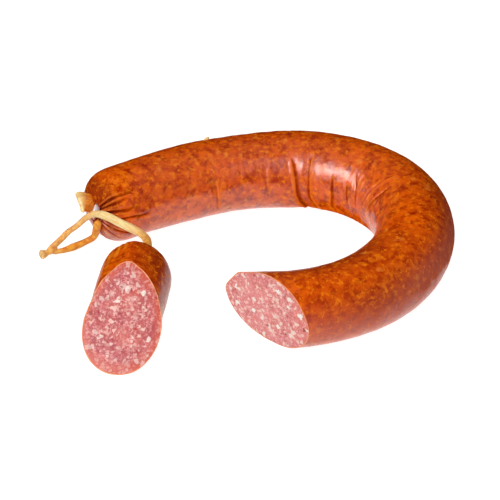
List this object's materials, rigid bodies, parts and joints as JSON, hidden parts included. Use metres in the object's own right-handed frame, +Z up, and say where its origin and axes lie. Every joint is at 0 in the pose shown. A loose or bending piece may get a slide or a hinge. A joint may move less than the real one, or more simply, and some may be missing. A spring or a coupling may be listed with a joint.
{
  "type": "ring mettwurst",
  "caption": "Smoked ring sausage lying in an open ring, cut at a slant to show coarse pink meat, with its cut-off tied end beside it on the hanging string.",
  "frame": {"origin": "middle of the sausage's bounding box, the string left out, on the surface it lies on", "axes": "+Z up, +X from the tied ends towards the bend, -Y towards the cut faces"},
  "size_m": [0.2222, 0.1916, 0.0428],
  "materials": {
    "casing": "glossy mottled orange-brown smoked casing",
    "meat": "moist coarse pink meat with white fat",
    "clip": "bright pressed wire",
    "string": "soft smoke-stained string"
  },
  "bodies": {
    "root": {"ring_casing": "casing", "ring_filling": "meat", "ring_clip": "clip", "end_piece_casing": "casing", "end_piece_filling": "meat", "end_piece_clip": "clip", "string_lower": "string", "string_upper": "string", "string_knot": "string"}
  },
  "joints": []
}
